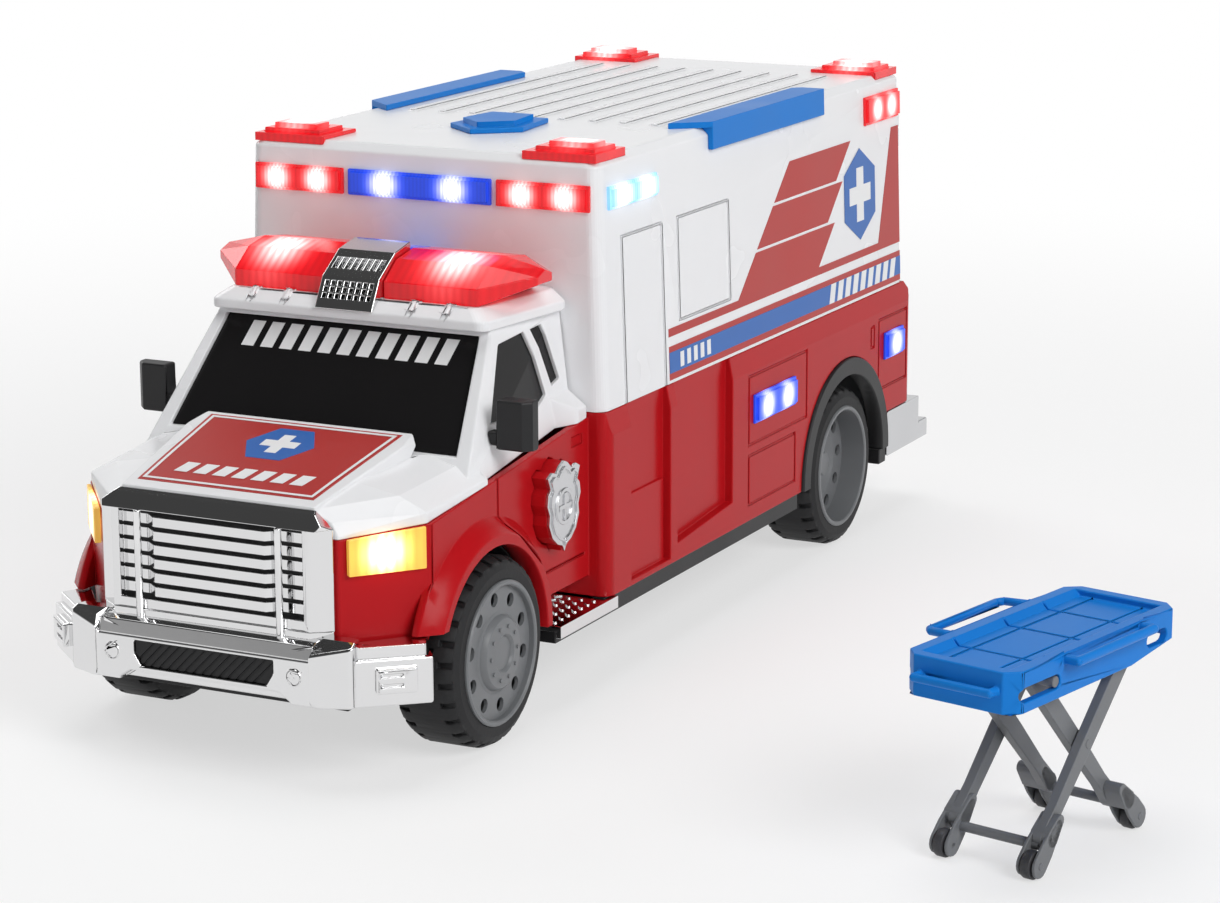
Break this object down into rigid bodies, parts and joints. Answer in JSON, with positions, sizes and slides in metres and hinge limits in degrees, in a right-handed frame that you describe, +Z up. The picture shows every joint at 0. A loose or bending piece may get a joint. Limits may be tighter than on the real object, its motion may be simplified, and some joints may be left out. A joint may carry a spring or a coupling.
{
  "type": "toy ambulance",
  "caption": "Box-bodied toy ambulance with rolling wheels, opening rear doors, a sprung sound button, lamp lenses and a stretcher on folding scissor legs.",
  "frame": {"origin": "on the ground under the middle of the vehicle, midway between the faces of the two bumpers", "axes": "+Z up, -Y towards the front of the vehicle, +X towards the driver's side"},
  "size_m": [0.2728, 0.3309, 0.1392],
  "materials": {
    "white_plastic": "smooth moulded gloss",
    "red_plastic": "smooth moulded gloss",
    "black_plastic": "fine satin grain",
    "black_pane": "polished black",
    "chrome_plate": "bright plated",
    "silver_plate": "satin plated",
    "red_lens": "clear moulded lens",
    "blue_lens": "clear moulded lens",
    "amber_lens": "clear moulded lens",
    "blue_plastic": "smooth moulded satin",
    "grey_plastic": "satin",
    "dark_grey_plastic": "satin",
    "rim_grey": "satin",
    "tyre_rubber": "matt rubber",
    "steel": "drawn",
    "cell_wrap": "gloss sleeve",
    "board": "coated board"
  },
  "bodies": {
    "vehicle": {"cab_upper": "white_plastic", "module_shell": "white_plastic", "lower_body": "red_plastic", "chassis": "black_plastic", "arch_trim_left": "black_plastic", "arch_trim_right": "black_plastic", "mirror_left": "black_plastic", "mirror_right": "black_plastic", "bumper_mesh": "black_plastic", "grille_backing": "black_plastic", "battery_cover": "black_plastic", "cab_glazing": "black_pane", "grille": "chrome_plate", "front_bumper": "chrome_plate", "bar_louvre": "chrome_plate", "step_left": "chrome_plate", "step_right": "chrome_plate", "badge_plate": "silver_plate", "rear_bumper": "silver_plate", "bar_lenses": "red_lens", "front_lenses_red": "red_lens", "rear_side_lenses": "red_lens", "roof_corner_lenses": "red_lens", "tail_lamps": "red_lens", "bar_centre_lens": "blue_lens", "front_lens_blue": "blue_lens", "side_lenses": "blue_lens", "skirt_lenses": "blue_lens", "headlamp_left": "amber_lens", "headlamp_right": "amber_lens", "roof_trim_left": "blue_plastic", "roof_trim_right": "blue_plastic", "roof_piece": "blue_plastic", "module_floor": "grey_plastic", "speaker": "dark_grey_plastic", "button_switch": "dark_grey_plastic", "hinge_pins": "steel", "screws": "steel", "battery_cells": "cell_wrap", "circuit_board": "board"},
    "front_wheels": {"axle_front": "steel", "tyres_front": "tyre_rubber", "rims_front": "rim_grey"},
    "rear_wheels": {"axle_rear": "steel", "tyres_rear": "tyre_rubber", "rims_rear": "rim_grey"},
    "rear_door_left": {"rear_door_left": "white_plastic", "door_window_left": "black_pane", "door_handle_left": "black_plastic"},
    "rear_door_right": {"rear_door_right": "white_plastic", "door_window_right": "black_pane", "door_handle_right": "black_plastic"},
    "shield_button": {"button_key": "red_plastic", "button_plate": "silver_plate"},
    "stretcher": {"stretcher_bed": "blue_plastic"},
    "outer_legs": {"leg_frame_outer": "grey_plastic"},
    "inner_legs": {"leg_frame_inner": "grey_plastic"},
    "front_casters": {"casters_front": "dark_grey_plastic"},
    "rear_casters": {"casters_rear": "dark_grey_plastic"}
  },
  "joints": [
    {"name": "front_wheels_roll", "type": "hinge", "parent": "vehicle", "child": "front_wheels", "pos_m": [0, -0.1153, 0.0236], "axis": [1, 0, 0], "continuous": true},
    {"name": "rear_wheels_roll", "type": "hinge", "parent": "vehicle", "child": "rear_wheels", "pos_m": [0, 0.0987, 0.0236], "axis": [1, 0, 0], "continuous": true},
    {"name": "rear_door_left_swing", "type": "hinge", "parent": "vehicle", "child": "rear_door_left", "pos_m": [0.046, 0.1528, 0.08], "axis": [0, 0, -1], "range_deg": [0, 105]},
    {"name": "rear_door_right_swing", "type": "hinge", "parent": "vehicle", "child": "rear_door_right", "pos_m": [-0.046, 0.1528, 0.08], "axis": [0, 0, 1], "range_deg": [0, 105]},
    {"name": "shield_button_press", "type": "slide", "parent": "vehicle", "child": "shield_button", "axis": [-1, 0, 0], "range_m": [0, 0.0015], "stiffness_N_per_m": 400, "springref_m": -0.001},
    {"name": "stretcher_roll", "type": "slide", "parent": "vehicle", "child": "stretcher", "axis": [0.2164, 0.9763, 0], "range_m": [-0.06, 0.06]},
    {"name": "outer_legs_fold", "type": "hinge", "parent": "stretcher", "child": "outer_legs", "pos_m": [0.19787, -0.10552, 0.0445], "axis": [-0.9763, 0.2164, 0], "range_deg": [0, 24]},
    {"name": "inner_legs_fold", "type": "hinge", "parent": "outer_legs", "child": "inner_legs", "pos_m": [0.194, -0.123, 0.0255], "axis": [-0.9763, 0.2164, 0], "range_deg": [-48, 0]},
    {"name": "front_casters_roll", "type": "hinge", "parent": "outer_legs", "child": "front_casters", "pos_m": [0.18946, -0.1435, 0.0032], "axis": [0.9763, -0.2164, 0], "continuous": true},
    {"name": "rear_casters_roll", "type": "hinge", "parent": "inner_legs", "child": "rear_casters", "pos_m": [0.19854, -0.1025, 0.0032], "axis": [0.9763, -0.2164, 0], "continuous": true}
  ],
  "couplings": [
    {"joint": "inner_legs_fold", "follows": "outer_legs_fold", "ratio": -2}
  ]
}
